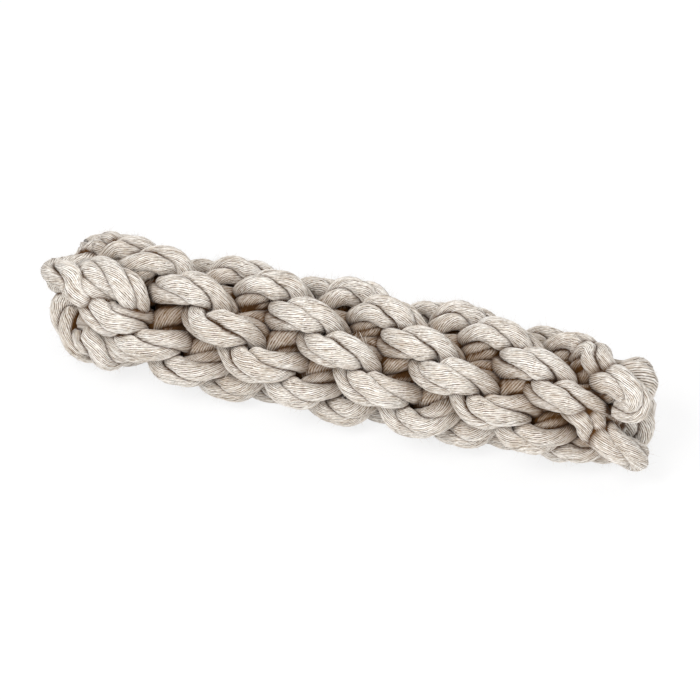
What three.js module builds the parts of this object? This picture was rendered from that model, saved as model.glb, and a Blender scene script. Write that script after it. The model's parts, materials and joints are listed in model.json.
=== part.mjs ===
// Rope dog toy: a stick of four cotton ropes worked as a continuous crown sinnet.
// Each crown lays every rope over its neighbour and under the next, always the same way round, so each rope
// goes round the stick once in three crowns: a bight along the outside, then a chord across the inside.
// At both ends each rope turns back in a short loop and its tip is tucked in between the bights. The left tips lie in
// the grooves between the bights and push the last crowns round; on the right the last crowns lean.
// mm, +Z up, +X along the stick. The stick rests on the flats under its two lowest rows of bights.
import * as THREE from "three";

// Sizes
const ROPE = 14; // diameter of the rope before it is worked
const CROWNS = 15; // whole crowns between the end loops
const GAP = 0.6; // clearance kept between ropes that touch
const REST_FLAT = ROPE / 10; // how deep the lowest bights are pressed flat
const TIP = 0.33 * ROPE; // thickness of a tucked tip

// What the rope's thickness makes of the knot, in rope diameters: the length of a crown, and the waves of a rope's
// distance from the axis (cosines), place along the stick (sines), width and depth (cosines) over one crown
const CROWN = 1.114 * ROPE;
const AWAY = [1.05, 0.55, -0.061, -0.05];
const ALONG = [0.493, -0.096, -0.036];
const WIDE = [0.38, 0.036, 0.043];
const DEEP = [0.337, 0.071, -0.039];
const SWING = [-28, 4]; // waves of the angle, degrees
const TURN = 120; // a rope's turn about the axis in one crown, degrees
const FIRST_ROW = 45; // angle of the row that faces up and forward, degrees from +Z towards -Y

// How the stick as a whole departs from the even knot: fuller in the middle, drawn in towards the ends, thickest a
// little left of the middle, with the left end pushed round and the last crowns on the right leaning
const GIRTH = 1.115;
const TAPER = 0.27;
const FULLEST = -0.08; // in half lengths from the middle
const PUSHED = 18; // degrees
const PUSHED_TO = 1.5; // crowns from the left end
const SLANT = 0.2; // lean of the last crown, as a share of the distance from the axis
const SLANT_FROM = 10; // crowns from the left end

// The end loops: distance from the axis and place along the stick in rope diameters, angle in degrees, all from the
// middle of the bight that the loop replaces, and the rope's half width and half depth there
const LEFT_LOOP = [
  [0.902, -5.8, -0.878],
  [1.28, 4.8, -0.761],
  [1.569, 8.5, -0.982],
  [1.569, 2.6, -1.596],
  [1.532, -19.3, -2.316],
  [1.096, -35.5, -2.589],
  [0.993, -40.1, -2.662],
];
const LEFT_WIDE = 0.33,
  LEFT_DEEP = 0.28;
const RIGHT_LOOP = [
  [1.002, -3, -0.872],
  [1.424, 1.5, -0.589],
  [1.625, 11.6, -0.416],
  [1.661, 24.1, -0.442],
  [1.534, 33, -0.674],
  [1.224, 34, -1.07],
];
const RIGHT_WIDE = 0.35,
  RIGHT_DEEP = 0.33;
const JOIN = 0.36; // where a loop leaves the crown, in crowns from that middle

// Facets
const STEPS = 11; // rings in a crown
const LOOP_STEPS = 2; // rings between two points of the loop
const SIDES = 8;

const rad = Math.PI / 180;
const cosines = (c, w) =>
  c.reduce((sum, v, i) => sum + v * Math.cos(i * w), 0);
const sines = (c, w) =>
  c.reduce((sum, v, i) => sum + v * Math.sin((i + 1) * w), 0);

// A rope at crown t, counted from the left end: distance, angle, place along, half width, half depth and the
// angle that its depth makes with the radius
function inCrown(t) {
  const w = 2 * Math.PI * t;
  return {
    r: ROPE * cosines(AWAY, w),
    a: TURN * t + sines(SWING, w),
    x: CROWN * t + ROPE * sines(ALONG, w),
    wide: ROPE * cosines(WIDE, w) - GAP / 2,
    deep: ROPE * cosines(DEEP, w) - GAP / 2,
    lean: 180 * t,
  };
}

const mix = (a, b, k) => a + (b - a) * k;
const clamp01 = (k) => Math.min(1, Math.max(0, k));

// The loop that replaces the bight of crown t. side is 1 at the right end and -1 at the left.
function endLoop(t, side, loop, loopWide, loopDeep) {
  const from = inCrown(t - side * JOIN);
  const before = inCrown(t - side * (JOIN + 0.1));
  const points = loop.map(([r, a, x]) => [
    r * ROPE,
    TURN * t + side * a,
    CROWN * t + side * x * ROPE,
  ]);
  const path = [
    [before.r, before.a, before.x],
    [from.r, from.a, from.x],
    ...points,
  ];
  const [tip, last] = [path[path.length - 1], path[path.length - 2]];
  path.push(tip.map((v, i) => 2 * v - last[i]));
  const rings = [];
  const count = (path.length - 3) * LOOP_STEPS;
  for (let i = 1; i <= count; i++) {
    const j = Math.min(Math.floor(i / LOOP_STEPS), path.length - 4);
    const k = i / LOOP_STEPS - j;
    const [p0, p1, p2, p3] = path.slice(j, j + 4);
    const at = p1.map(
      (v, n) =>
        0.5 *
        (2 * v +
          (p2[n] - p0[n]) * k +
          (2 * p0[n] - 5 * v + 4 * p2[n] - p3[n]) * k * k +
          (3 * v - p0[n] - 3 * p2[n] + p3[n]) * k * k * k),
    );
    const done = i / count;
    const grow = clamp01(done / 0.35);
    const tuck = clamp01((done - 0.62) / 0.38) ** 1.3;
    rings.push({
      r: at[0],
      a: at[1],
      x: at[2],
      wide: mix(mix(from.wide, loopWide * ROPE - GAP / 2, grow), TIP / 2, tuck),
      deep: mix(mix(from.deep, loopDeep * ROPE - GAP / 2, grow), TIP / 2, tuck),
      lean: mix(from.lean, 180 * t, clamp01(done / 0.4)),
    });
  }
  return rings;
}

// The even knot drawn in, filled out and pushed round as the whole stick is. The rope is only half as much wider as
// the stick is fuller, and no deeper.
function asWorked(q) {
  const t = q.x / CROWN;
  const out = (2 * t - CROWNS + 1) / (CROWNS + 1);
  const girth = GIRTH - TAPER * Math.abs(out - FULLEST) ** 3;
  return {
    ...q,
    r: q.r * girth,
    a: q.a + (PUSHED * (1 - Math.tanh(t - PUSHED_TO))) / 2,
    wide: q.wide * (girth > 1 ? (1 + girth) / 2 : girth),
    deep: q.deep * Math.min(girth, 1),
  };
}

// One rope from tip to tip, turned by start degrees
function ropeRings(start) {
  const low = -1 + JOIN,
    high = CROWNS - JOIN;
  const count = Math.round((high - low) * STEPS);
  const middle = [];
  for (let i = 0; i <= count; i++)
    middle.push(inCrown(mix(low, high, i / count)));
  const all = [
    ...endLoop(-1, -1, LEFT_LOOP, LEFT_WIDE, LEFT_DEEP).reverse(),
    ...middle,
    ...endLoop(CROWNS, 1, RIGHT_LOOP, RIGHT_WIDE, RIGHT_DEEP),
  ].map(asWorked);
  const slant = (q) =>
    SLANT *
    clamp01((q.x / CROWN - SLANT_FROM) / (CROWNS - SLANT_FROM)) ** 2 *
    Math.sin((q.a + start - FIRST_ROW) * rad);
  const radius = (q) => {
    const a = (q.a + start) * rad;
    return new THREE.Vector3(0, -Math.sin(a), Math.cos(a));
  };
  const places = all.map((q) =>
    radius(q)
      .multiplyScalar(q.r)
      .setX(q.x + slant(q) * q.r),
  );
  return all.map((q, i) => {
    const along = places[Math.min(i + 1, all.length - 1)]
      .clone()
      .sub(places[Math.max(i - 1, 0)])
      .normalize();
    const depth = radius(q)
      .multiplyScalar(Math.cos(q.lean * rad))
      .setX(Math.sin(q.lean * rad));
    depth.addScaledVector(along, -depth.dot(along)).normalize();
    const width = new THREE.Vector3().crossVectors(along, depth);
    const ring = [];
    for (let j = 0; j < SIDES; j++) {
      const f = (2 * Math.PI * j) / SIDES;
      ring.push(
        places[i]
          .clone()
          .addScaledVector(depth, q.deep * Math.cos(f))
          .addScaledVector(width, q.wide * Math.sin(f)),
      );
    }
    return ring;
  });
}

// The rings joined to one closed tube
function tube(rings) {
  const points = rings.flat();
  const index = [];
  for (let i = 0; i + 1 < rings.length; i++)
    for (let j = 0; j < SIDES; j++) {
      const a = i * SIDES + j,
        b = i * SIDES + ((j + 1) % SIDES);
      index.push(a, b, a + SIDES, b, b + SIDES, a + SIDES);
    }
  const last = (rings.length - 1) * SIDES;
  for (let j = 1; j + 1 < SIDES; j++)
    index.push(0, j + 1, j, last, last + j, last + j + 1);
  const geometry = new THREE.BufferGeometry();
  geometry.setAttribute(
    "position",
    new THREE.Float32BufferAttribute(
      points.flatMap((p) => [p.x, p.y, p.z]),
      3,
    ),
  );
  geometry.setIndex(index);
  geometry.computeVertexNormals();
  return geometry;
}

// The four ropes, a quarter turn apart. What lies lowest is pressed flat, and the middle of that underside is the
// origin.
const ropes = [0, 1, 2, 3].map((n) => ropeRings(FIRST_ROW - TURN + 90 * n));
const box = new THREE.Box3().setFromPoints(ropes.flat(2));
const middle = box.getCenter(new THREE.Vector3());
const floor = box.min.z + REST_FLAT;
for (const p of ropes.flat(2))
  p.set(p.x - middle.x, p.y - middle.y, Math.max(p.z, floor) - floor);

// Least gap between two ropes, and between two places on one rope, on points laid over the tubes' faces
function leastGap() {
  const cell = ROPE / 2;
  const grid = new Map();
  const near = [Infinity, Infinity];
  const spots = [];
  ropes.forEach((rings, n) => {
    for (let i = 0; i + 1 < rings.length; i++)
      for (let j = 0; j < SIDES; j++)
        for (const [u, v] of [
          [0, 0],
          [0.5, 0],
          [0, 0.5],
          [0.5, 0.5],
        ]) {
          const k = (j + 1) % SIDES;
          const p = rings[i][j].clone().lerp(rings[i][k], u);
          p.lerp(rings[i + 1][j].clone().lerp(rings[i + 1][k], u), v);
          spots.push({ p, n, i });
        }
  });
  const key = (x, y, z) => `${x},${y},${z}`;
  const cellOf = (p) => [p.x, p.y, p.z].map((v) => Math.floor(v / cell));
  for (const s of spots) {
    const c = key(...cellOf(s.p));
    if (!grid.has(c)) grid.set(c, []);
    grid.get(c).push(s);
  }
  for (const s of spots) {
    const [x, y, z] = cellOf(s.p);
    for (let dx = -1; dx <= 1; dx++)
      for (let dy = -1; dy <= 1; dy++)
        for (let dz = -1; dz <= 1; dz++)
          for (const o of grid.get(key(x + dx, y + dy, z + dz)) ?? []) {
            const own = o.n === s.n;
            if (own && Math.abs(o.i - s.i) < STEPS * 0.45) continue;
            const d = s.p.distanceTo(o.p);
            const slot = own ? 0 : 1;
            if (d < near[slot]) near[slot] = d;
          }
  }
  return near;
}
const [toItself, toOthers] = leastGap();
console.log(
  `least gap of a rope to itself ${toItself.toFixed(2)} mm, between ropes ${toOthers.toFixed(2)} mm`,
);

const cotton = new THREE.MeshStandardMaterial({
  color: 0xd6cdc2,
  roughness: 0.95,
});
const toy = new THREE.Group();
toy.name = "rope_dog_toy";
ropes.forEach((rings, n) => {
  const mesh = new THREE.Mesh(tube(rings), cotton);
  mesh.name = `rope_${n + 1}`;
  toy.add(mesh);
});
export default toy;
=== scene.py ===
"""Rope dog toy: lays the strands of four cotton ropes along the frame's routes, on a studio stage.

Metres, in the frame's own axes: +X along the stick, +Z up, the floor at z = 0.
"""

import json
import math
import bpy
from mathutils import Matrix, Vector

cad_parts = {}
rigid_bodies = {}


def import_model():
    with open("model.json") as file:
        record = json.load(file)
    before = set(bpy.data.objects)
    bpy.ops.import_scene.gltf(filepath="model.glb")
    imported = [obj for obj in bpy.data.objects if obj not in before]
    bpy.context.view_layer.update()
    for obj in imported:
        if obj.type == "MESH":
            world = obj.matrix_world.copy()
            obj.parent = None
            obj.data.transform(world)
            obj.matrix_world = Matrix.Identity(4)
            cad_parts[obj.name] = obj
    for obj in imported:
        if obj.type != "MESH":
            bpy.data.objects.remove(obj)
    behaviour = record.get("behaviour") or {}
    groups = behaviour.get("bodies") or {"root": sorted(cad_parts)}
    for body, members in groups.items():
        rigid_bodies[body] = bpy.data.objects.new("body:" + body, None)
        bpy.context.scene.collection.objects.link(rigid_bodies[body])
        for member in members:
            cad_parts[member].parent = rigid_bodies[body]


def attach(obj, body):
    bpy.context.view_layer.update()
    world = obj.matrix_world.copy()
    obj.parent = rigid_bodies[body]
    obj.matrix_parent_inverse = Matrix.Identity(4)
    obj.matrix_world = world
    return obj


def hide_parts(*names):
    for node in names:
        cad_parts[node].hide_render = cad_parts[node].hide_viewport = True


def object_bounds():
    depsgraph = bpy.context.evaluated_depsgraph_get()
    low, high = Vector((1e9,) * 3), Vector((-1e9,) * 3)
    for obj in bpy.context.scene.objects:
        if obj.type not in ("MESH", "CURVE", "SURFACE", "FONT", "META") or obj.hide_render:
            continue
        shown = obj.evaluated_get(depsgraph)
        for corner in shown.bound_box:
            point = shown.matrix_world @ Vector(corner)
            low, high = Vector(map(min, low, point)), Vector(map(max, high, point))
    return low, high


bl_info = {
    "name": "Rope Dog Toy",
    "version": (1, 0, 0),
    "blender": (4, 5, 0),
    "location": "3D View > Sidebar > Rope Toy",
    "description": "A fetch stick of four laid cotton ropes worked as a crown sinnet",
    "category": "Add Mesh",
}

import bpy
import numpy as np
from bpy.props import FloatProperty, FloatVectorProperty, IntProperty, PointerProperty
from mathutils import Vector

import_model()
CAD_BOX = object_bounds()

ROPES = 4
# The ropes' route: the waves of the part's source, with shorter bights. In rope diameters: the length of
# a crown, and the waves over one crown of the distance from the axis (cosines), place along the stick
# (sines), half width and half depth (cosines)
CROWN = 1.114
AWAY = (1.05, 0.55, -0.061, -0.05)
ALONG = (0.41, -0.096, -0.036)
WIDE = (0.38, 0.036, 0.043)
DEEP = (0.337, 0.071, -0.039)
# In degrees: the waves of the angle about the axis (sines), how far a rope goes round the stick and its
# section turns over in one crown, and the row that faces up and forward
SWING = (-28, 4)
TURN = 120
TURN_OVER = 180
FIRST_ROW = 45
ROUTE_STEPS = 120  # to a crown

# The whole stick is fuller in the middle, drawn in towards the ends and thickest a little left of the
# middle. The tips that are tucked in at the left end push it round, in degrees, up to a crown.
GIRTH, TAPER, FULLEST = 1.1, 0.26, -0.08
PUSHED, PUSHED_TO = 22, 1.6
# How far the end bights lean, in degrees, over how many crowns
LEAN_LEFT, LEAN_LEFT_OVER = 12, 1.1
LEAN_RIGHT, LEAN_RIGHT_OVER = 15, 0.7
# What grows towards an end has an amount and three values: how many crowns from the last one it starts,
# after how many more it reaches the amount, and how many times that stretch counts at most.
# The soft ends are drawn in further than the frame's tubes can be, and each rope's last bight by an
# amount of its own, in rope diameters
DRAWN_LEFT, DRAWN_RIGHT = 0.29, 0.46
DRAWN_GROWS = (2.5, 3, 2)
OWN_LEFT = (0.22, -0.15, 0.15, 0.43)
OWN_RIGHT = (0, 0, 0.12, 0.38)
OWN_GROWS = (1.3, 1.5, 1.3)
# The last crowns on the right slant, by a share of the distance from the axis
SLANT, SLANT_GROWS = 0.45, (3, 4, 1)
# Both ends bend away from the viewer, in rope diameters
BENT_LEFT, BENT_LEFT_GROWS = 0.12, (5, 5, 1.3)
BENT_RIGHT, BENT_RIGHT_GROWS = 0.16, (4, 5, 1.3)
# The stick isn't quite even. In some places, given by a crown and how many crowns about it, the bights are
# turned round (degrees), spread by the tucked tips (degrees), leaning (a share of the distance from the
# axis) or further left (rope diameters).
TURNED, TURNED_AT = 6.5, (8.8, 1)
SPREAD, SPREAD_AT = 9, (2.2, 1.2)
LEANING, LEANING_AT = 0.13, (10.2, 1.4)
LEFTWARD, LEFTWARD_AT = 0.12, (1.6, 1.3)

# Each rope's end loops: distance from the axis in rope diameters, angle in degrees and place along in
# rope diameters, from the middle of the bight that the loop replaces, and the rope's half width and half
# depth there
LEFT_LOOPS = (
    (
        (0.85, -6, -1.05),
        (1.0, -3, -1.3),
        (1.12, -3, -1.55),
        (1.22, -8, -2.05),
        (1.3, -25, -2.55),
        (1.1, -37, -2.75),
        (1.0, -41, -2.8),
    ),
    (
        (1.0, -6, -0.85),
        (1.43, -3, -0.7),
        (1.7, -3, -0.95),
        (1.7, -8, -1.6),
        (1.53, -25, -2.33),
        (1.1, -37, -2.6),
        (1.0, -41, -2.67),
    ),
    (
        (0.9, -8, -0.98),
        (1.28, -9, -1.05),
        (1.52, -10, -1.4),
        (1.57, -18, -2.1),
        (1.53, -34, -2.75),
        (1.2, -44, -3.0),
        (1.0, -48, -3.1),
    ),
    (
        (0.9, -6, -0.88),
        (1.28, -3, -0.8),
        (1.52, -3, -1.05),
        (1.55, -8, -1.65),
        (1.53, -25, -2.33),
        (1.1, -37, -2.6),
        (1.0, -41, -2.67),
    ),
)
LEFT_HALVES = (0.42, 0.37)
RIGHT_LOOPS = (
    (
        (0.75, -6, -1.2),
        (0.75, -10, -0.75),
        (0.85, -6, -0.1),
        (0.95, 6, 0.3),
        (1.0, 22, 0.35),
        (0.95, 38, 0),
        (0.75, 46, -0.6),
    ),
    (
        (1.15, 0, -0.8),
        (1.55, 2, -0.45),
        (1.78, 7, -0.02),
        (1.8, 15, 0.34),
        (1.75, 26, 0.38),
        (1.64, 33, 0.05),
        (1.42, 34, -0.55),
    ),
    (
        (1.0, -14, -1.05),
        (1.38, -14, -1.05),
        (1.64, -9, -0.7),
        (1.73, 3, -0.22),
        (1.71, 22, -0.12),
        (1.55, 40, -0.5),
        (1.2, 51, -1.2),
    ),
    (
        (1.0, 2, -0.5),
        (1.38, 14, 0.25),
        (1.62, 20, 0.72),
        (1.66, 28, 0.88),
        (1.62, 36, 0.58),
        (1.5, 44, -0.1),
        (1.2, 51, -0.7),
    ),
)
RIGHT_HALVES = (0.5, 0.45)
LOOP_STEPS = 24  # between two points
# The tip's half size in rope diameters, and in crowns how far from the replaced bight's middle a loop
# joins the route and how much further off the route's direction is taken
TIP = 0.165
JOIN = 0.36
JOIN_FROM = 0.1
# In parts of a loop: where it has its full size, where its section has turned over, and from where it
# narrows to the tip, with how sudden that is
FULL_AT, OVER_AT = 0.2, 0.4
NARROWS_FROM, NARROWING = 0.72, 1.3
# Where the frame's axis has crown 0, in metres
AXIS = (-0.1098, 0, 0.0259)

# How near the axis the soft rope starts to fill out, and over what distance it does, in rope diameters
FILLED_FROM, FILLED_OVER = 1.35, 0.7
# Hand work wavers: how far it strays, and its shortest and longest wave in metres. A rope's stray is one
# of the sizes. The others are in radians round the rope, radians round the strand, shares of the strand's
# half size and shares of the yarn's relief.
WAVES = 5
ROPE_WAVES = (0.03, 0.09)
STRAND_SWAY = (0.12, 0.02, 0.07)
YARN_SWAY = (0.08, 0.012, 0.04)
STRAND_SWELL = (0.04, 0.02, 0.06)
YARN_SWELL = (0.3, 0.008, 0.03)

STRANDS = 3
# Where each rope's first strand lies on the middle crown's bight, in degrees round the rope from outwards
STRAND_AT = (-35, 40, 0, -3)
# A strand's section, in parts of the rope's half size: its middle from the rope's middle, and its half
# size outwards and sideways. The strands press each other flat, so they are wider than deep and meet in
# narrow crevices.
STRAND_OUT, STRAND_DEEP, STRAND_WIDE = 0.545, 0.48, 0.615
COLUMNS = 3  # of vertices to a yarn
# The arch of a yarn's back, a half round at 1, and the flattest and proudest yarn in parts of the relief
YARN_ARCH = 0.96
YARN_RELIEFS = (0.6, 1.4)

# The cotton's colours follow two painted shades from 0 to 1, which darken it where shade falls. Sunk is how
# far down in the stick a point is, and there it paints the brown shade between the ropes: from which
# distance to the axis, and over what distance, in rope diameters, and how much at most. It fades out at the
# stick's end faces, given in metres from its middle.
SUNK_FROM, SUNK_OVER, SUNK_MOST = 1.7, 0.9, 0.85
END_FACE, END_FADE = 0.116, 0.015
# Shut is how far a point is shut in, and there it paints the dark shade of the crevices: by the strands of
# its own rope, from which distance to the rope's middle, and over what distance, in half sizes of the rope;
# by another rope that is near, in metres; or by the stick, from how far sunk, over what range, and how much
# at most
SHUT_FROM, SHUT_OVER = 0.83, 0.15
TOUCH_WITHIN = 0.0018
DARK_FROM, DARK_OVER, DARK_MOST = 0.52, 0.3, 0.85
NEIGHBOURS = 60  # places on other ropes, the nearest ones, that a ring is measured against
FLOOR_SOFT = 0.0025  # height below which the rope is pressed flat by the floor
STRAND_SEED = 7

# The bake map: the rows that a strand's length is cut into, the margin at their ends, and where in a row the
# strand starts and how much of it the strand fills
BAKE_ROWS = 7
BAKE_MARGIN = 0.004
BAKE_START, BAKE_HEIGHT = 0.02, 0.95
TIP_CORNER = 0.001  # of both maps, for the small faces that close a strand's ends

# Loose fibres stand where the rope is hardly sunk or shut in, and not close to the floor. A real one has a
# third of this thickness, too fine to show in the render.
FIBRE_SHADE, FIBRE_ABOVE = 0.1, 0.004
FIBRE_THICK = 0.00003  # half its thickness
FIBRE_ROOT = 0.0001  # how deep its root is in the yarn
FIBRE_LOWEST = 0.0001  # how far it stays over the floor
# Their random ranges: length in parts of the longest, how far it rises from the yarn, how far it leans
# aside and how far it curls
FIBRE_LENGTHS, FIBRE_RISE = (0.25, 1), (0.3, 1)
FIBRE_SPREAD, FIBRE_CURL = 0.7, 0.6
FIBRE_SEED = 11
# Broken yarn ends that poke out between the bights: where each starts, which way it points and how long
# it is, in metres
YARN_ENDS = (
    ((0.0085, -0.0085, 0.0411), (-0.2, -0.25, 1.1), 0.0075),
    ((0.0092, -0.0085, 0.0411), (0.1, -0.4, 1), 0.0065),
    ((0.0078, -0.0082, 0.041), (-0.5, -0.35, 1), 0.006),
    ((-0.0933, -0.0118, 0.0366), (-0.16, 0.1, 0.97), 0.0075),
    ((-0.044, -0.0169, 0.0196), (-0.12, -0.53, 0.07), 0.0065),
)
YARN_END_THICK = 0.00022  # half its thickness
YARN_END_CURL = 0.3
# A thread's sides, and its sections: how far along each is and how thick
THREAD_SIDES = 3
THREAD_SECTIONS = ((0, 1), (0.5, 0.8), (1, 0.3))

# The stage: half the floor's width, how white it is to the camera, the world's light on the object, the
# softboxes (place, width and power), and the camera's sensor in millimetres
FLOOR_HALF = 3
FLOOR_WHITE = 0.8
WORLD_LIGHT = 0.35
SOFTBOXES = {
    "key softbox": ((-0.35, -0.55, 0.95), 0.6, 9.0),
    "fill softbox": ((0.6, -0.75, 0.35), 0.7, 4.8),
    "top softbox": ((0.1, 0.35, 1.1), 0.8, 5.0),
}
SENSOR = 36
CAMERA_REACH = 20


def linear(hex_colour):
    """An sRGB hex colour as linear red, green and blue."""
    parts = [int(hex_colour[i : i + 2], 16) / 255 for i in (0, 2, 4)]
    return tuple(
        c / 12.92 if c <= 0.04045 else ((c + 0.055) / 1.055) ** 2.4 for c in parts
    )


class RopeToySizes(bpy.types.PropertyGroup):
    """Sizes of the rope and of the stick that is worked from it"""

    rope: FloatProperty(
        name="Rope",
        description="Diameter of the rope before it is worked",
        default=0.014,
        unit="LENGTH",
    )
    crowns: IntProperty(
        name="Crowns", description="Whole crowns between the end loops", default=15
    )
    clearance: FloatProperty(
        name="Clearance",
        description="Gap that the frame keeps between ropes",
        default=0.0006,
        unit="LENGTH",
    )
    swell: FloatProperty(
        name="Swell",
        description="How far the soft rope stands out past the frame's tube",
        default=0.0009,
        unit="LENGTH",
    )
    lay: FloatProperty(
        name="Lay",
        description="Length of rope in which a strand goes round once",
        default=0.0463,
        unit="LENGTH",
    )
    yarns: IntProperty(
        name="Yarns", description="Yarns round the outside of a strand", default=30
    )
    relief: FloatProperty(
        name="Yarn Relief",
        description="How far a yarn stands out past the groove beside it",
        default=0.00045,
        unit="LENGTH",
    )
    slant: FloatProperty(
        name="Yarn Slant",
        description="Angle of the yarns to the rope on the outside of a strand, against the lay",
        default=math.radians(8),
        subtype="ANGLE",
    )
    ring: FloatProperty(
        name="Ring Spacing",
        description="Length of rope between two rings of vertices",
        default=0.0014,
        unit="LENGTH",
    )
    fill: FloatProperty(
        name="Fill",
        description="How much further the soft rope swells where it crosses the inside",
        default=0.004,
        unit="LENGTH",
    )
    uneven: FloatProperty(
        name="Unevenness",
        description="How far a hand-worked rope strays from the even route",
        default=0.0006,
        unit="LENGTH",
    )
    fibres: IntProperty(
        name="Loose Fibres",
        description="Fibre ends that stand off the ropes",
        default=9000,
    )
    fibre: FloatProperty(
        name="Fibre Length",
        description="Longest loose fibre end",
        default=0.0035,
        unit="LENGTH",
    )


class RopeToyColours(bpy.types.PropertyGroup):
    """Colours of the unbleached cotton, of the shades painted into it, and of the stage"""

    light: FloatVectorProperty(
        name="Light Yarn",
        description="The palest cotton",
        default=linear("F6F2EC"),
        subtype="COLOR",
    )
    middle: FloatVectorProperty(
        name="Middle Yarn",
        description="Most of the cotton",
        default=linear("C5B8A9"),
        subtype="COLOR",
    )
    groove: FloatVectorProperty(
        name="Groove",
        description="The shaded cotton between two yarns",
        default=linear("5A4834"),
        subtype="COLOR",
    )
    # Painted shade: the brown that stands for the shade down between the ropes
    inside: FloatVectorProperty(
        name="Inside",
        description="The browner cotton down between the ropes",
        default=linear("72522A"),
        subtype="COLOR",
    )
    # Painted shade: the dark that stands for the shade in the crevices where strands and ropes press
    # together
    crevice_shade: FloatVectorProperty(
        name="Crevice",
        description="The shut crevices where strands and ropes press together",
        default=linear("4C2E0A"),
        subtype="COLOR",
    )
    floor: FloatVectorProperty(
        name="Floor",
        description="The floor's paint",
        default=linear("F4F4F4"),
        subtype="COLOR",
    )


class RopeToyStage(bpy.types.PropertyGroup):
    """Where the camera stands"""

    azimuth: FloatProperty(
        name="Azimuth",
        description="Camera's turn about the object, from straight in front",
        default=math.radians(16.5),
        subtype="ANGLE",
    )
    elevation: FloatProperty(
        name="Elevation",
        description="Camera's angle above the floor",
        default=math.radians(45),
        subtype="ANGLE",
    )
    distance: FloatProperty(
        name="Distance",
        description="Camera to the middle of the stick",
        default=2.4,
        unit="LENGTH",
    )
    aim: FloatVectorProperty(
        name="Aim",
        description="What the camera looks at, from the middle of the stick",
        default=(0.0002, -0.0005, 0.001),
        unit="LENGTH",
    )
    view_width: FloatProperty(
        name="View Width",
        description="Width of the picture at the stick",
        default=0.2757,
        unit="LENGTH",
    )


def cosines(waves, w):
    """The sum of cosine waves, the first one constant."""
    return sum(v * np.cos(i * w) for i, v in enumerate(waves))


def sines(waves, w):
    """The sum of sine waves."""
    return sum(v * np.sin((i + 1) * w) for i, v in enumerate(waves))


def within(k):
    """k, kept between 0 and 1."""
    return np.clip(k, 0, 1)


def near(t, at, width):
    """1 at one crown, falling smoothly to 0 a few widths off."""
    return np.exp(-(((t - at) / width) ** 2))


def growing(from_last, start, over, most):
    """0 until start crowns from the last one, then growing with the square of the way."""
    return np.clip((start - from_last) / over, 0, most) ** 2


def unit(vectors):
    """The vectors, each with a length of 1."""
    return vectors / np.linalg.norm(vectors, axis=1)[:, None]


def waver(run, rng, stray, shortest, longest):
    """A smooth random wave along the rope, about -stray to stray, with waves from shortest to longest."""
    lengths = rng.uniform(shortest, longest, WAVES)
    phases = rng.uniform(0, 2 * np.pi, WAVES)
    waves = sum(np.sin(2 * np.pi * run / s + p) for s, p in zip(lengths, phases))
    return stray * (waves / (WAVES / 2))


def in_crown(t, sizes):
    """Distance, angle, place along, half width, half depth and lean of a rope at crowns t, one row each."""
    w = 2 * np.pi * np.asarray(t, float)
    leaning = LEAN_LEFT * near(t, 0, LEAN_LEFT_OVER)
    leaning = leaning + LEAN_RIGHT * near(t, sizes.crowns - 1, LEAN_RIGHT_OVER)
    return np.array(
        [
            sizes.rope * cosines(AWAY, w),
            TURN * t + sines(SWING, w) + leaning * np.sin(w),
            sizes.rope * (CROWN * t + sines(ALONG, w)),
            sizes.rope * cosines(WIDE, w) - sizes.clearance / 2,
            sizes.rope * cosines(DEEP, w) - sizes.clearance / 2,
            TURN_OVER * t,
        ]
    )


def end_loop(t, side, loop, loop_halves, sizes):
    """The same rows for the loop that replaces the bight of crown t, from the join to the tucked tip."""
    start = in_crown(t - side * JOIN, sizes)
    before = in_crown(t - side * (JOIN + JOIN_FROM), sizes)
    points = [before[:3], start[:3]]
    for r, a, x in loop:
        place = (CROWN * t + side * x) * sizes.rope
        points.append(np.array([r * sizes.rope, TURN * t + side * a, place]))
    points.append(2 * points[-1] - points[-2])
    points = np.array(points)

    # A smooth curve through the points
    count = (len(points) - 3) * LOOP_STEPS
    i = np.arange(1, count + 1)
    j = np.minimum(i // LOOP_STEPS, len(points) - 4)
    k = (i / LOOP_STEPS - j)[:, None]
    p0, p1, p2, p3 = (points[j + n] for n in range(4))
    path = 0.5 * (
        2 * p1
        + (p2 - p0) * k
        + (2 * p0 - 5 * p1 + 4 * p2 - p3) * k**2
        + (3 * p1 - p0 - 3 * p2 + p3) * k**3
    )
    done = i / count
    grown = within(done / FULL_AT)
    narrowed = within((done - NARROWS_FROM) / (1 - NARROWS_FROM)) ** NARROWING
    halves = []
    for first, share in zip(start[3:5], loop_halves):
        full = share * sizes.rope - sizes.clearance / 2
        half = first + (full - first) * grown
        halves.append(half + (TIP * sizes.rope - half) * narrowed)
    lean = start[5] + (TURN_OVER * t - start[5]) * within(done / OVER_AT)
    return np.vstack([path.T, halves, lean])


def as_worked(rows, number, sizes):
    """The even knot drawn in, filled out and pushed round as the whole stick is."""
    r, a, x, wide, deep, lean = rows
    t = x / (CROWN * sizes.rope)
    from_last = sizes.crowns - 1 - t
    drawn = DRAWN_LEFT * growing(t, *DRAWN_GROWS)
    drawn = drawn + OWN_LEFT[number] * growing(t, *OWN_GROWS)
    drawn = drawn - DRAWN_RIGHT * growing(from_last, *DRAWN_GROWS)
    drawn = drawn - OWN_RIGHT[number] * growing(from_last, *OWN_GROWS)
    drawn = drawn - LEFTWARD * near(t, *LEFTWARD_AT)
    pushed = PUSHED * (1 - np.tanh(t - PUSHED_TO)) / 2
    # From -1 to 1 over the length of the stick
    out = (2 * t - sizes.crowns + 1) / (sizes.crowns + 1)
    girth = GIRTH - TAPER * np.abs(out - FULLEST) ** 3
    return np.array(
        [
            r * girth,
            a + pushed + TURNED * near(t, *TURNED_AT),
            x + drawn * sizes.rope,
            wide * np.where(girth > 1, (1 + girth) / 2, girth),
            deep * np.minimum(girth, 1),
            lean,
        ]
    )


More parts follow.
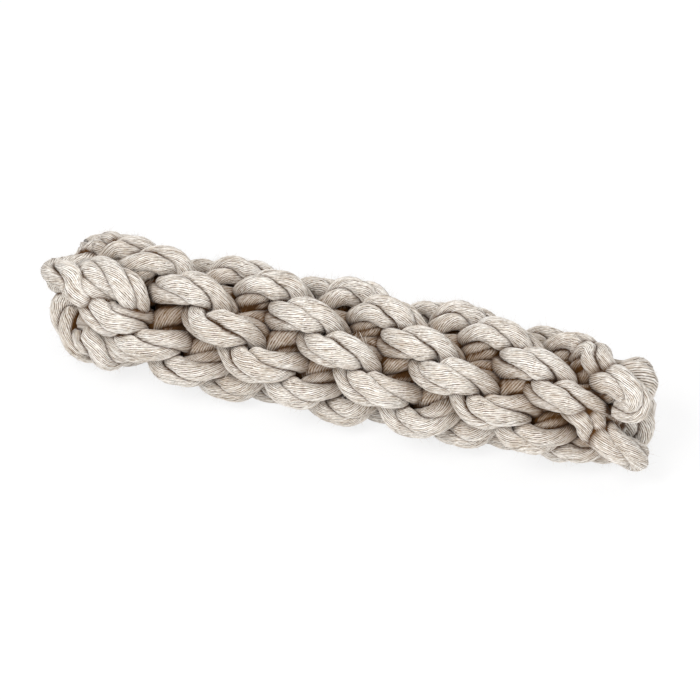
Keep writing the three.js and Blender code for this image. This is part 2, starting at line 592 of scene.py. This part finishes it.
def rope_route(number, sizes):
    """Rope number's middle line in even steps, with its depth and width directions, half sizes and lay."""
    low, high = -1 + JOIN, sizes.crowns - JOIN
    knots = np.linspace(low, high, round((high - low) * ROUTE_STEPS) + 1)
    left = end_loop(-1, -1, LEFT_LOOPS[number], LEFT_HALVES, sizes)[:, ::-1]
    right = end_loop(sizes.crowns, 1, RIGHT_LOOPS[number], RIGHT_HALVES, sizes)
    rows = np.hstack([left, in_crown(knots, sizes), right])
    knots = np.pad(knots, (left.shape[1], right.shape[1]), mode="edge")
    crowns = rows[2] / (CROWN * sizes.rope)
    from_last = sizes.crowns - 1 - crowns
    rows = as_worked(rows, number, sizes)
    angle = np.radians(rows[1] + FIRST_ROW - TURN + 360 / ROPES * number)
    from_front = angle - math.radians(FIRST_ROW)
    angle += math.radians(SPREAD) * near(crowns, *SPREAD_AT) * np.sin(from_front)
    radial = np.column_stack([np.zeros_like(angle), -np.sin(angle), np.cos(angle)])
    place = radial * rows[0][:, None]
    slant = SLANT * growing(from_last, *SLANT_GROWS) + LEANING * near(crowns, *LEANING_AT)
    place[:, 0] = rows[2] + slant * np.sin(from_front) * rows[0]
    bent = BENT_LEFT * growing(crowns, *BENT_LEFT_GROWS)
    bent = bent + BENT_RIGHT * growing(from_last, *BENT_RIGHT_GROWS)
    place[:, 1] += bent * sizes.rope

    # Even steps along the rope
    run = np.append(0, np.cumsum(np.linalg.norm(np.diff(place, axis=0), axis=1)))
    even = np.linspace(0, run[-1], round(run[-1] / sizes.ring) + 1)

    def evenly(values):
        return np.column_stack([np.interp(even, run, v) for v in np.atleast_2d(values.T)])

    place = evenly(place)
    radial = unit(evenly(radial))
    away, wide, deep, lean = evenly(rows[[0, 3, 4, 5]].T).T
    filled = sizes.fill * within((FILLED_FROM - away / sizes.rope) / FILLED_OVER)
    wide = wide + sizes.swell + filled / 2
    deep = deep + sizes.swell + filled
    rng = np.random.default_rng(number)
    place += np.column_stack([waver(even, rng, sizes.uneven, *ROPE_WAVES) for _ in range(3)])
    place += AXIS
    lean = np.radians(lean)[:, None]
    along = unit(np.gradient(place, axis=0))
    depth = radial * np.cos(lean) + np.array([1, 0, 0]) * np.sin(lean)
    depth = unit(depth - along * np.sum(depth * along, axis=1)[:, None])
    width = np.cross(along, depth)

    # The strands' lay is even along the rope, so the turning of the directions themselves is taken off it
    step = even[1] - even[0]
    own = np.sum(np.gradient(depth, step, axis=0) * width, axis=1)
    twist = np.cumsum(2 * np.pi / sizes.lay - own) * step
    middle = np.argmin(np.abs(np.interp(even, run, knots) - (sizes.crowns - 1) / 2))
    twist += math.radians(STRAND_AT[number]) - twist[middle]
    return {
        "place": place,
        "depth": depth,
        "width": width,
        "wide": wide,
        "deep": deep,
        "run": even,
        "twist": twist,
    }


def strand_rings(route, strand, sizes, rng):
    """Rings of points round one strand, shaped (rings, columns, 3), and how far its rope shuts each in, for
    the painted shade of its crevices.
    """
    run = route["run"][:, None]
    columns = sizes.yarns * COLUMNS
    yarn = np.arange(columns)[None, :] / COLUMNS
    size = sizes.rope / 2
    # The yarns turn against the lay: enough to lie along the rope on the outside, and the slant more
    back = (2 * np.pi / sizes.lay + math.tan(sizes.slant) / size) / STRAND_WIDE
    outward = route["twist"][:, None] + 2 * np.pi * strand / STRANDS
    outward = outward + waver(run, rng, *STRAND_SWAY)
    sway = waver(run, rng, *YARN_SWAY)
    turn = 2 * np.pi * yarn / sizes.yarns - back * run + sway
    # A yarn's round back, how proud the yarn lies, and how that changes along it
    across_yarn = 2 * (yarn % 1) - 1
    proud = rng.uniform(*YARN_RELIEFS, sizes.yarns)[(yarn % sizes.yarns).astype(int)]
    swell = np.hstack([waver(run, rng, *YARN_SWELL) for _ in range(sizes.yarns)])
    proud = proud * (1 + swell[:, np.arange(columns) // COLUMNS])
    bump = sizes.relief / size * (np.sqrt(1 - YARN_ARCH * across_yarn**2) - 0.5) * proud
    full = 1 + waver(run, rng, *STRAND_SWELL)
    across = STRAND_OUT + (STRAND_DEEP * full + bump) * np.cos(turn)
    beside = (STRAND_WIDE * full + bump) * np.sin(turn)
    u = across * np.cos(outward) - beside * np.sin(outward)
    v = across * np.sin(outward) + beside * np.cos(outward)
    rings = (
        route["place"][:, None, :]
        + route["depth"][:, None, :] * (u * route["deep"][:, None])[:, :, None]
        + route["width"][:, None, :] * (v * route["wide"][:, None])[:, :, None]
    )
    return rings, within((SHUT_FROM - np.hypot(u, v)) / SHUT_OVER)


def touching(rings, others):
    """How near each point lies to another rope: 1 where they press together, 0 further off."""
    middles = np.vstack([route["place"] for route in others])
    halves = np.concatenate([(route["wide"] + route["deep"]) / 2 for route in others])
    gaps = np.empty(rings.shape[:2])
    for i, ring in enumerate(rings):
        far = np.linalg.norm(middles - ring.mean(0), axis=1)
        nearest = np.argsort(far)[:NEIGHBOURS]
        gap = np.linalg.norm(ring[:, None] - middles[nearest], axis=2) - halves[nearest]
        gaps[i] = gap.min(1)
    return within(1 - gaps / TOUCH_WITHIN)


def shades(rings, shut, others, sizes):
    """The painted shades: how far each point is sunk in the stick, and how far it is shut in by strands,
    ropes or the stick.
    """
    from_axis = np.hypot(rings[..., 1] - AXIS[1], rings[..., 2] - AXIS[2])
    sunk = within((SUNK_FROM - from_axis / sizes.rope) / SUNK_OVER)
    sunk *= SUNK_MOST * within((END_FACE - np.abs(rings[..., 0])) / END_FADE)
    shut = np.maximum(shut, touching(rings, others) ** 2)
    shut = np.maximum(shut, DARK_MOST * within((sunk - DARK_FROM) / DARK_OVER))
    return {"sunk": sunk, "shut": shut}


def press_on_floor(points):
    """Presses what is lowest softly flat, so that nothing goes below the floor."""
    low = points[..., 2] < FLOOR_SOFT
    points[low, 2] = FLOOR_SOFT * np.exp((points[low, 2] - FLOOR_SOFT) / FLOOR_SOFT)


def mesh_piece(name, points, faces, material):
    """A smooth mesh object that rides on the toy's one body."""
    mesh = bpy.data.meshes.new(name)
    mesh.from_pydata(points, [], faces)
    mesh.polygons.foreach_set("use_smooth", [True] * len(mesh.polygons))
    mesh.materials.append(material)
    piece = bpy.data.objects.new(name, mesh)
    bpy.context.collection.objects.link(piece)
    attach(piece, "root")
    return piece


def empty_tree(block):
    """The node tree of a material or world, with nothing in it."""
    block.use_nodes = True
    block.node_tree.nodes.clear()
    return block.node_tree


def add(tree, kind, inputs=None, **settings):
    """Adds a node with its settings, and its inputs from other nodes' sockets or as plain values."""
    node = tree.nodes.new(kind)
    for name, value in settings.items():
        setattr(node, name, value)
    for name, value in (inputs or {}).items():
        if isinstance(value, bpy.types.NodeSocket):
            tree.links.new(value, node.inputs[name])
        else:
            node.inputs[name].default_value = value
    return node


def laid_cotton(colours):
    """Unbleached cotton, carded, spun into soft yarns and laid up: matt, fuzzy, streaked along each yarn,
    with no two yarns quite the same tone, and with painted shade: brown in the grooves and down between
    the ropes, dark in the crevices."""
    material = bpy.data.materials.new("unbleached laid cotton")
    tree = empty_tree(material)
    # Along the yarn in millimetres, and across in yarns
    yarn = add(tree, "ShaderNodeUVMap", uv_map="yarn").outputs[0]
    # Noise that follows the yarns: its length in millimetres, how many go to a yarn's width, detail and
    # roughness. The nap's real fibres are finer, too fine to show in the render.
    noise = {}
    for name, length, to_a_yarn, detail, roughness in (
        ("waver of the yarns", 6, 0.7, 2, 0.5),
        ("streaks of fibre", 2.5, 1, 3, 0.6),
        ("twist of a yarn", 2, 1.5, 2, 0.7),
        ("nap", 1.1, 2.4, 1, 0.5),
    ):
        scaled = add(
            tree,
            "ShaderNodeVectorMath",
            {0: yarn, 1: (1 / length, to_a_yarn, 1)},
            operation="MULTIPLY",
        )
        texture = add(
            tree,
            "ShaderNodeTexNoise",
            {"Vector": scaled.outputs[0], "Scale": 1, "Detail": detail, "Roughness": roughness},
            noise_dimensions="2D",
        )
        noise[name] = texture.outputs[0]
    # Across in yarns that waver by up to a third of a yarn either way
    parts = add(tree, "ShaderNodeSeparateXYZ", {0: yarn})
    across = add(
        tree,
        "ShaderNodeMath",
        {0: noise["waver of the yarns"], 1: 0.7, 2: parts.outputs[1]},
        operation="MULTIPLY_ADD",
    )
    across = add(tree, "ShaderNodeMath", {0: across.outputs[0], 1: 0.35}, operation="SUBTRACT")
    number = add(tree, "ShaderNodeMath", {0: across.outputs[0]}, operation="FLOOR")
    tone = add(
        tree, "ShaderNodeTexWhiteNoise", {"W": number.outputs[0]}, noise_dimensions="1D"
    )
    # The groove between two yarns is painted shade. It fades out over three tenths of a yarn, and shows in
    # dashes, where the fibres over it lie apart
    side = add(tree, "ShaderNodeMath", {0: across.outputs[0]}, operation="FRACT")
    side = add(tree, "ShaderNodeMath", {0: side.outputs[0], 1: 0.5}, operation="PINGPONG")
    groove = add(
        tree,
        "ShaderNodeMapRange",
        {"Value": side.outputs[0], "From Min": 0.3, "From Max": 0, "To Max": 1},
    )
    dashes = add(
        tree,
        "ShaderNodeMapRange",
        {
            "Value": noise["twist of a yarn"],
            "From Min": 0.28,
            "From Max": 0.62,
            "To Min": 0.15,
            "To Max": 1.45,
        },
    )
    groove = add(
        tree,
        "ShaderNodeMath",
        {0: groove.outputs[0], 1: dashes.outputs[0]},
        operation="MULTIPLY",
        use_clamp=True,
    )
    # Patches of paler and darker cotton about 14 mm across
    where = add(tree, "ShaderNodeTexCoord").outputs["Object"]
    patches = add(
        tree, "ShaderNodeTexNoise", {"Vector": where, "Scale": 1 / 0.014, "Detail": 2}
    )
    # How pale the cotton is: the streaks, and the others with their weights. The sum's usual range makes the
    # share of the light yarn.
    pale = noise["streaks of fibre"]
    for pattern, weight in (
        (tone.outputs["Value"], 0.25),
        (patches.outputs[0], 0.5),
        (noise["nap"], 0.9),
    ):
        weighed = {0: pattern, 1: weight, 2: pale}
        pale = add(tree, "ShaderNodeMath", weighed, operation="MULTIPLY_ADD").outputs[0]
    share = add(tree, "ShaderNodeMapRange", {"Value": pale, "From Min": 1.02, "From Max": 1.6})
    # The strand's own painted shades. The power keeps the darkest painted shade to where it is shut in most.
    sunk = add(tree, "ShaderNodeAttribute", attribute_name="sunk")
    shut = add(tree, "ShaderNodeAttribute", attribute_name="shut")
    shut = add(
        tree, "ShaderNodeMath", {0: shut.outputs["Fac"], 1: 1.5}, operation="POWER"
    )
    # From the middle yarn's colour towards each of the others in turn: the light yarn, then the painted
    # shades of the grooves, of the inside and of the crevices
    colour = (*colours.middle, 1)
    for amount, towards in (
        (share.outputs[0], colours.light),
        (groove.outputs[0], colours.groove),
        (sunk.outputs["Fac"], colours.inside),
        (shut.outputs[0], colours.crevice_shade),
    ):
        mixed = {0: amount, 6: colour, 7: (*towards, 1)}
        colour = add(tree, "ShaderNodeMix", mixed, data_type="RGBA").outputs[2]
    # The yarn's twist stands out by 0.3 mm
    bump = add(
        tree,
        "ShaderNodeBump",
        {"Height": noise["twist of a yarn"], "Strength": 1, "Distance": 0.0003},
    )
    shader = add(
        tree,
        "ShaderNodeBsdfPrincipled",
        {
            "Base Color": colour,
            "Normal": bump.outputs[0],
            "Roughness": 0.92,
            "Specular IOR Level": 0.08,
            "Sheen Weight": 0.15,
            "Sheen Roughness": 0.5,
        },
    )
    add(tree, "ShaderNodeOutputMaterial", {0: shader.outputs[0]})
    return material


def strand_piece(name, rings, shade_values, strand_number, sizes, material):
    """One closed mesh of the strand's rings, with its yarn map, its bake map and its points' shades."""
    count, columns = rings.shape[:2]
    points = np.vstack([rings.reshape(-1, 3), rings[0].mean(0), rings[-1].mean(0)])
    # Each face's corners lie on a ring and the next, and in a column and the next
    ring, column = np.meshgrid(np.arange(count - 1), np.arange(columns), indexing="ij")
    corner_ring = np.stack([ring, ring, ring + 1, ring + 1], axis=-1)
    corner_column = np.stack([column, column + 1, column + 1, column], axis=-1)
    quads = (corner_ring * columns + corner_column % columns).reshape(-1, 4)
    first_tip, last_ring = count * columns, (count - 1) * columns
    pairs = [(a, (a + 1) % columns) for a in range(columns)]
    tips = [(first_tip, b, a) for a, b in pairs]
    tips += [(first_tip + 1, last_ring + a, last_ring + b) for a, b in pairs]
    piece = mesh_piece(name, points.tolist(), quads.tolist() + tips, material)

    # Yarn map: millimetres along, yarns across, with the strands' yarns numbered on
    along = corner_ring * sizes.ring * 1000
    across = corner_column / COLUMNS + strand_number * sizes.yarns
    # Bake map: the strand's length cut into rows that fill a square
    in_row = math.ceil((count - 1) / BAKE_ROWS)
    row = (ring // in_row)[..., None]
    bake_u = BAKE_MARGIN + (1 - 2 * BAKE_MARGIN) * (corner_ring - row * in_row) / in_row
    bake_v = (row + BAKE_START + BAKE_HEIGHT * corner_column / columns) / BAKE_ROWS
    tip_uv = np.full((len(tips) * 3, 2), TIP_CORNER)
    layers = piece.data.uv_layers
    for map_name, u, v in (("yarn", along, across), ("OFBake", bake_u, bake_v)):
        uv = np.vstack([np.column_stack([u.ravel(), v.ravel()]), tip_uv])
        layers.new(name=map_name).data.foreach_set("uv", uv.ravel())
    layers.active = layers["yarn"]
    for shade, values in shade_values.items():
        attribute = piece.data.attributes.new(shade, "FLOAT", "POINT")
        attribute.data.foreach_set(
            "value", np.append(values.ravel(), [1, 1]).astype(np.float32)
        )
    return piece


class ROPETOY_OT_ropes(bpy.types.Operator):
    """Lay the twelve strands of the four ropes along their routes"""

    bl_idname = "rope_toy.ropes"
    bl_label = "Lay the Ropes"

    def execute(self, context):
        sizes, colours = context.scene.rope_toy_sizes, context.scene.rope_toy_colours
        material = laid_cotton(colours)
        rng = np.random.default_rng(STRAND_SEED)
        routes = [rope_route(number, sizes) for number in range(ROPES)]
        for number, route in enumerate(routes):
            others = [other for other in routes if other is not route]
            for strand in range(STRANDS):
                rings, shut = strand_rings(route, strand, sizes, rng)
                shade_values = shades(rings, shut, others, sizes)
                press_on_floor(rings)
                piece = strand_piece(
                    f"rope_{number + 1}_strand_{strand + 1}",
                    rings,
                    shade_values,
                    number * STRANDS + strand,
                    sizes,
                    material,
                )
                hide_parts(f"rope_{number + 1}")
        return {"FINISHED"}


def add_thread(points, faces, root, lean, curl, length, thick):
    """Adds a thin thread that starts along lean, bends by curl and thins towards its end."""
    side = np.cross(lean, curl)
    side /= np.linalg.norm(side)
    other = np.cross(lean, side)
    first = len(points)
    for k, share in THREAD_SECTIONS:
        middle = root + length * (lean * k + curl * k * k * 0.5)
        for f in range(THREAD_SIDES):
            a = 2 * math.pi * f / THREAD_SIDES
            points.append(middle + thick * share * (side * math.cos(a) + other * math.sin(a)))
    last = len(points) - THREAD_SIDES
    for ring in range(first, last, THREAD_SIDES):
        for f in range(THREAD_SIDES):
            a, b = ring + f, ring + (f + 1) % THREAD_SIDES
            faces.append((a, b, b + THREAD_SIDES, a + THREAD_SIDES))
    faces.append(tuple(range(last, last + THREAD_SIDES)))


class ROPETOY_OT_fibres(bpy.types.Operator):
    """Raise loose fibres and broken yarn ends on the outside of the ropes"""

    bl_idname = "rope_toy.fibres"
    bl_label = "Raise Loose Fibres"

    def execute(self, context):
        sizes, colours = context.scene.rope_toy_sizes, context.scene.rope_toy_colours
        rng = np.random.default_rng(FIBRE_SEED)
        strands = [o for o in bpy.data.objects if "_strand_" in o.name]
        if not strands:
            raise RuntimeError("the ropes come before their loose fibres")
        points, faces = [], []
        each = sizes.fibres // len(strands)
        for strand in sorted(strands, key=lambda o: o.name):
            mesh = strand.data
            count = len(mesh.vertices)
            place, normal = np.empty(count * 3), np.empty(count * 3)
            mesh.vertices.foreach_get("co", place)
            mesh.vertex_normals.foreach_get("vector", normal)
            sunk, shut = np.empty(count), np.empty(count)
            mesh.attributes["sunk"].data.foreach_get("value", sunk)
            mesh.attributes["shut"].data.foreach_get("value", shut)
            place, normal = place.reshape(-1, 3), normal.reshape(-1, 3)
            free = (sunk + shut < FIBRE_SHADE) & (place[:, 2] > FIBRE_ABOVE)
            for at in rng.choice(np.flatnonzero(free), each, replace=False):
                length = sizes.fibre * rng.uniform(*FIBRE_LENGTHS)
                lean = normal[at] * rng.uniform(*FIBRE_RISE) + rng.normal(0, FIBRE_SPREAD, 3)
                lean /= np.linalg.norm(lean)
                curl = rng.normal(0, FIBRE_CURL, 3)
                root = place[at] - normal[at] * FIBRE_ROOT
                add_thread(points, faces, root, lean, curl, length, FIBRE_THICK)
        for root, lean, length in YARN_ENDS:
            curl = rng.normal(0, YARN_END_CURL, 3)
            lean = np.array(lean) / np.linalg.norm(lean)
            add_thread(points, faces, np.array(root), lean, curl, length, YARN_END_THICK)
        points = np.array(points)
        points[:, 2] = np.maximum(points[:, 2], FIBRE_LOWEST)
        mesh_piece("loose_fibres", points.tolist(), faces, loose_cotton(colours))
        return {"FINISHED"}


def loose_cotton(colours):
    """Loose cotton fibre ends: the same cotton, paler because single fibres let light through."""
    material = bpy.data.materials.new("loose cotton fibre")
    tree = empty_tree(material)
    # Patches of paler and darker fibre about 6 mm across
    where = add(tree, "ShaderNodeTexCoord").outputs["Object"]
    patches = add(
        tree, "ShaderNodeTexNoise", {"Vector": where, "Scale": 1 / 0.006, "Detail": 2}
    )
    colour = add(
        tree,
        "ShaderNodeMix",
        {0: patches.outputs[0], 6: (*colours.middle, 1), 7: (*colours.light, 1)},
        data_type="RGBA",
    )
    shader = add(
        tree,
        "ShaderNodeBsdfPrincipled",
        {"Base Color": colour.outputs[2], "Roughness": 0.9, "Specular IOR Level": 0.2},
    )
    add(tree, "ShaderNodeOutputMaterial", {0: shader.outputs[0]})
    return material


def seen(tree):
    """1 for what is seen straight, in a gloss or through glass, and 0 for light on its way to the object."""
    light = add(tree, "ShaderNodeLightPath")
    either = light.outputs["Is Camera Ray"]
    for ray in ("Is Glossy Ray", "Is Transmission Ray"):
        both = {0: either, 1: light.outputs[ray]}
        either = add(tree, "ShaderNodeMath", both, operation="MAXIMUM").outputs[0]
    return either


def painted_floor(colours):
    """Matt white paint on a studio floor: white to the camera, with the soft shadow of what stands on it."""
    material = bpy.data.materials.new("matt white floor paint")
    tree = empty_tree(material)
    paint = add(
        tree, "ShaderNodeBsdfDiffuse", {"Color": (*colours.floor, 1), "Roughness": 0.5}
    )
    white = add(tree, "ShaderNodeEmission", {"Color": (1, 1, 1, 1), "Strength": 1})
    share = add(tree, "ShaderNodeMath", {0: seen(tree), 1: FLOOR_WHITE}, operation="MULTIPLY")
    both = add(
        tree,
        "ShaderNodeMixShader",
        {0: share.outputs[0], 1: paint.outputs[0], 2: white.outputs[0]},
    )
    add(tree, "ShaderNodeOutputMaterial", {0: both.outputs[0]})
    return material


def studio_world():
    """White to the camera, and a soft even light on the object."""
    world = bpy.data.worlds.new("studio")
    tree = empty_tree(world)
    strength = add(
        tree,
        "ShaderNodeMapRange",
        {"Value": seen(tree), "To Min": WORLD_LIGHT, "To Max": 1},
    )
    background = add(
        tree,
        "ShaderNodeBackground",
        {"Color": (1, 1, 1, 1), "Strength": strength.outputs[0]},
    )
    add(tree, "ShaderNodeOutputWorld", {0: background.outputs[0]})
    return world


def soft_box(name, place, target, size, power):
    """A square area lamp that faces the target."""
    lamp = bpy.data.lights.new(name, "AREA")
    lamp.size = size
    lamp.energy = power
    box = bpy.data.objects.new(name, lamp)
    box.location = place
    box.rotation_euler = (Vector(place) - target).to_track_quat("Z", "Y").to_euler()
    bpy.context.collection.objects.link(box)


class ROPETOY_OT_stage(bpy.types.Operator):
    """Set the floor, the lamps and the camera round the toy"""

    bl_idname = "rope_toy.stage"
    bl_label = "Set the Stage"

    def execute(self, context):
        scene = context.scene
        stage, colours = scene.rope_toy_stage, scene.rope_toy_colours
        middle = (CAD_BOX[0] + CAD_BOX[1]) / 2
        mesh = bpy.data.meshes.new("floor")
        corners = [(x * FLOOR_HALF, y * FLOOR_HALF, 0) for x, y in ((-1, -1), (1, -1), (1, 1), (-1, 1))]
        mesh.from_pydata(corners, [], [(0, 1, 2, 3)])
        mesh.materials.append(painted_floor(colours))
        floor = bpy.data.objects.new("floor", mesh)
        context.collection.objects.link(floor)

        scene.world = studio_world()
        for name, (place, size, power) in SOFTBOXES.items():
            soft_box(name, place, middle, size, power)

        back = Vector(
            (
                math.sin(stage.azimuth) * math.cos(stage.elevation),
                -math.cos(stage.azimuth) * math.cos(stage.elevation),
                math.sin(stage.elevation),
            )
        )
        lens = bpy.data.cameras.new("camera")
        lens.sensor_width = SENSOR
        lens.lens = SENSOR * stage.distance / stage.view_width
        lens.clip_end = CAMERA_REACH
        camera = bpy.data.objects.new("camera", lens)
        camera.location = middle + Vector(stage.aim) + back * stage.distance
        camera.rotation_euler = back.to_track_quat("Z", "Y").to_euler()
        context.collection.objects.link(camera)
        scene.camera = camera
        scene.view_settings.view_transform = "Standard"
        return {"FINISHED"}


class ROPETOY_PT_panel(bpy.types.Panel):
    """The toy's pieces and their sizes"""

    bl_idname = "ROPETOY_PT_panel"
    bl_label = "Rope Toy"
    bl_space_type = "VIEW_3D"
    bl_region_type = "UI"
    bl_category = "Rope Toy"

    def draw(self, context):
        scene = context.scene
        for operator, settings in (
            (ROPETOY_OT_ropes, scene.rope_toy_sizes),
            (ROPETOY_OT_fibres, scene.rope_toy_colours),
            (ROPETOY_OT_stage, scene.rope_toy_stage),
        ):
            box = self.layout.box()
            box.operator(operator.bl_idname)
            for name in settings.__annotations__:
                box.prop(settings, name)


CLASSES = (
    RopeToySizes,
    RopeToyColours,
    RopeToyStage,
    ROPETOY_OT_ropes,
    ROPETOY_OT_fibres,
    ROPETOY_OT_stage,
    ROPETOY_PT_panel,
)


def register():
    for item in CLASSES:
        bpy.utils.register_class(item)
    bpy.types.Scene.rope_toy_sizes = PointerProperty(type=RopeToySizes)
    bpy.types.Scene.rope_toy_colours = PointerProperty(type=RopeToyColours)
    bpy.types.Scene.rope_toy_stage = PointerProperty(type=RopeToyStage)


def unregister():
    del bpy.types.Scene.rope_toy_stage
    del bpy.types.Scene.rope_toy_colours
    del bpy.types.Scene.rope_toy_sizes
    for item in reversed(CLASSES):
        bpy.utils.unregister_class(item)


def main():
    register()
    bpy.ops.rope_toy.stage()
    bpy.ops.rope_toy.ropes()
    bpy.ops.rope_toy.fibres()


if __name__ == "__main__":
    main()
